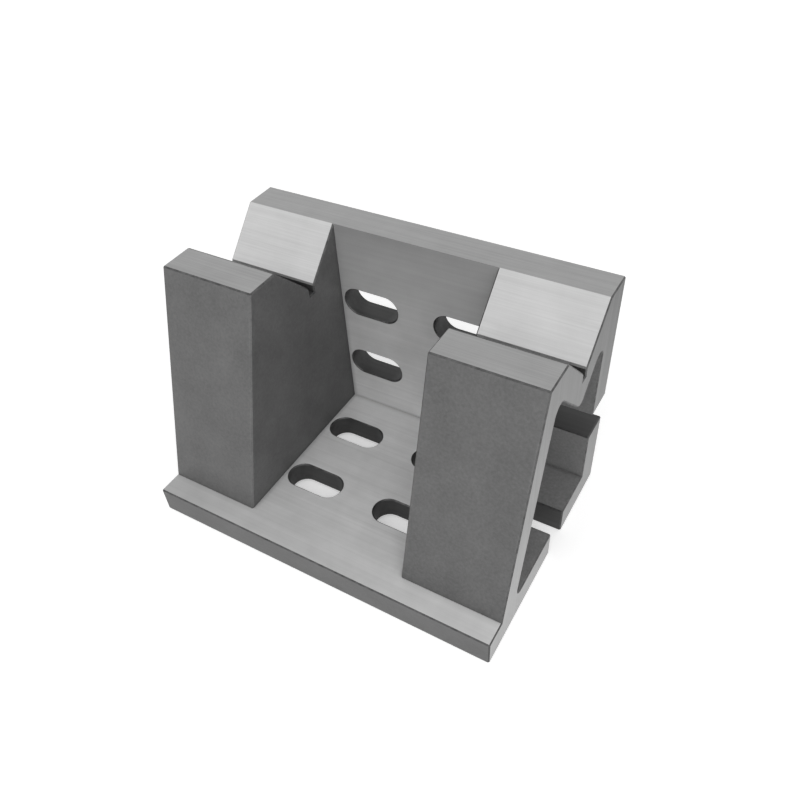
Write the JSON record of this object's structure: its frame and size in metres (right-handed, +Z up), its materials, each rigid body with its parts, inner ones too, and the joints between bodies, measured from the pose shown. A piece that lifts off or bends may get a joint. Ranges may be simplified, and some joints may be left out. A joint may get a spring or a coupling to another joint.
{
  "type": "v-angle plate",
  "caption": "Cast angle plate with hollow end webs, a V groove across their tops and clamping slots in its base and back, for holding work square or in the V.",
  "frame": {"origin": "middle of the underside", "axes": "+X along the plate, +Y towards the back face of the upright plate, +Z up"},
  "size_m": [0.1524, 0.1016, 0.1016],
  "materials": {
    "ground_cast_iron": "ground outer faces, tops and V flanks, machined channel, cast pockets"
  },
  "bodies": {
    "root": {"v_angle_plate": "ground_cast_iron"}
  },
  "joints": []
}
